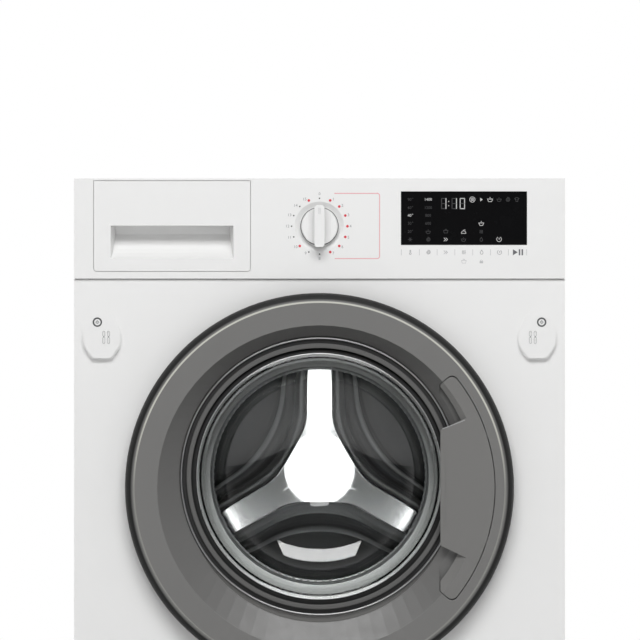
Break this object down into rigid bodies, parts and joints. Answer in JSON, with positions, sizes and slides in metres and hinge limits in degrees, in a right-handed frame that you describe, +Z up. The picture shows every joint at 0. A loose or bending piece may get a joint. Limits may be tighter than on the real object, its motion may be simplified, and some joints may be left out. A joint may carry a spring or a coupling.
{
  "type": "integrated washing machine",
  "caption": "Front-loading washing machine for a kitchen bay: flat white front with hinge covers for a furniture door, round grey porthole door, program knob and detergent drawer.",
  "frame": {"origin": "centre of the bounding box's base, on the floor under the levelling feet", "axes": "+X to the right seen from the front, +Y to the rear, +Z up"},
  "size_m": [0.598, 0.54, 0.82],
  "materials": {
    "white_enamel": "semi-gloss stoved enamel on steel sheet",
    "galvanised_steel": "zinc-coated sheet",
    "white_plastic": "fine satin moulding",
    "display_black": "smoked window",
    "circuit_board": "board and its carrier",
    "grey_plastic": "warm mid grey moulding",
    "dark_plastic": "dark grey moulding",
    "light_plastic": "filled polypropylene",
    "blue_plastic": "coloured insert",
    "grey_rubber": "moulded rubber",
    "black_rubber": "moulded rubber",
    "drum_steel": "bright stainless steel",
    "spring_steel": "oiled steel",
    "cast_aluminium": "as cast",
    "bright_trim": "polished",
    "concrete": "cast concrete",
    "bowl_glass": "clear borosilicate"
  },
  "bodies": {
    "cabinet": {"base_tray": "dark_plastic", "side_panel_left": "white_enamel", "side_panel_right": "white_enamel", "rear_panel": "galvanised_steel", "rear_cover": "galvanised_steel", "top_panel": "white_enamel", "front_panel": "white_enamel", "kick_panel": "white_enamel", "control_fascia": "white_plastic", "display_window": "display_black", "control_board": "circuit_board", "dispenser_housing": "light_plastic", "inlet_valve": "white_plastic", "inlet_hose": "grey_rubber", "fill_hose": "black_rubber", "door_gasket": "grey_rubber", "suspension_springs": "spring_steel", "damper_bodies": "dark_plastic", "door_lock": "dark_plastic", "hinge_plate": "cast_aluminium", "hinge_covers": "white_plastic", "cover_screws": "spring_steel", "drain_pump": "grey_plastic", "sump_hose": "black_rubber", "drain_hose": "black_rubber", "mains_gland": "dark_plastic", "transit_caps": "grey_plastic"},
    "tub": {"tub_front": "light_plastic", "tub_rear": "light_plastic", "counterweights": "concrete", "drive_motor": "cast_aluminium", "drive_belt": "black_rubber", "drum_bearings": "spring_steel", "heater": "drum_steel", "damper_rods": "spring_steel"},
    "drum": {"drum_shell": "drum_steel", "drum_back": "drum_steel", "drum_lifters": "light_plastic", "drum_spider": "cast_aluminium", "drum_pulley": "cast_aluminium"},
    "motor_rotor": {"motor_pulley": "spring_steel"},
    "door": {"door_ring": "grey_plastic", "door_bezel": "dark_plastic", "door_trim": "bright_trim", "door_glass": "bowl_glass", "door_back_frame": "grey_plastic", "hinge_pin": "spring_steel"},
    "handle": {"door_handle": "grey_plastic"},
    "hook": {"latch_hook": "cast_aluminium"},
    "knob": {"program_knob": "white_plastic"},
    "drawer": {"drawer_front": "white_plastic", "drawer_tray": "light_plastic"},
    "siphon": {"softener_siphon": "blue_plastic"},
    "flap": {"filter_flap": "white_plastic"},
    "filter": {"pump_filter": "grey_plastic"},
    "impeller": {"pump_impeller": "dark_plastic"},
    "foot_fl": {"foot_front_left": "black_rubber"},
    "foot_fr": {"foot_front_right": "black_rubber"},
    "foot_rl": {"foot_rear_left": "black_rubber"},
    "foot_rr": {"foot_rear_right": "black_rubber"}
  },
  "joints": [
    {"name": "tub_float", "type": "slide", "parent": "cabinet", "child": "tub", "axis": [0, 0, 1], "range_m": [-0.006, 0.006], "stiffness_N_per_m": 16000, "springref_m": 0.0181, "deforming": ["suspension_springs", "fill_hose", "sump_hose", "door_gasket"]},
    {"name": "drum_spin", "type": "hinge", "parent": "tub", "child": "drum", "pos_m": [0, 0, 0.4575], "axis": [0, 1, 0], "continuous": true},
    {"name": "rotor_spin", "type": "hinge", "parent": "tub", "child": "motor_rotor", "pos_m": [0.18207, 0, 0.18757], "axis": [0, 1, 0], "continuous": true},
    {"name": "door_swing", "type": "hinge", "parent": "cabinet", "child": "door", "pos_m": [-0.222, -0.256, 0.444], "axis": [0, 0, -1], "range_deg": [0, 110]},
    {"name": "handle_pull", "type": "hinge", "parent": "door", "child": "handle", "pos_m": [0.203, -0.266, 0.444], "axis": [0, 0, 1], "range_deg": [0, 12], "stiffness_Nm_per_rad": 1.2, "springref_deg": -5.73},
    {"name": "hook_turn", "type": "hinge", "parent": "door", "child": "hook", "pos_m": [0.196, -0.25, 0.444], "axis": [0, 0, 1], "range_deg": [-12, 0]},
    {"name": "knob_turn", "type": "hinge", "parent": "cabinet", "child": "knob", "pos_m": [0, -0.243, 0.7618], "axis": [0, 1, 0], "continuous": true},
    {"name": "drawer_slide", "type": "slide", "parent": "cabinet", "child": "drawer", "axis": [0, -1, 0], "range_m": [0, 0.2]},
    {"name": "siphon_lift", "type": "slide", "parent": "drawer", "child": "siphon", "axis": [0, 0, 1], "range_m": [0, 0.02]},
    {"name": "flap_open", "type": "hinge", "parent": "cabinet", "child": "flap", "pos_m": [0.18, -0.1885, 0.038], "axis": [1, 0, 0], "range_deg": [0, 90]},
    {"name": "filter_turn", "type": "hinge", "parent": "cabinet", "child": "filter", "pos_m": [0.18, -0.15, 0.067], "axis": [0, -1, 0], "range_deg": [0, 360]},
    {"name": "impeller_spin", "type": "hinge", "parent": "cabinet", "child": "impeller", "pos_m": [0.18, -0.08, 0.067], "axis": [0, 1, 0], "continuous": true},
    {"name": "level_fl", "type": "slide", "parent": "cabinet", "child": "foot_fl", "axis": [0, 0, -1], "range_m": [0, 0.015]},
    {"name": "level_fr", "type": "slide", "parent": "cabinet", "child": "foot_fr", "axis": [0, 0, -1], "range_m": [0, 0.015]},
    {"name": "level_rl", "type": "slide", "parent": "cabinet", "child": "foot_rl", "axis": [0, 0, -1], "range_m": [0, 0.015]},
    {"name": "level_rr", "type": "slide", "parent": "cabinet", "child": "foot_rr", "axis": [0, 0, -1], "range_m": [0, 0.015]}
  ],
  "couplings": [
    {"joint": "rotor_spin", "follows": "drum_spin", "ratio": 13.636},
    {"joint": "hook_turn", "follows": "handle_pull", "ratio": -1}
  ]
}
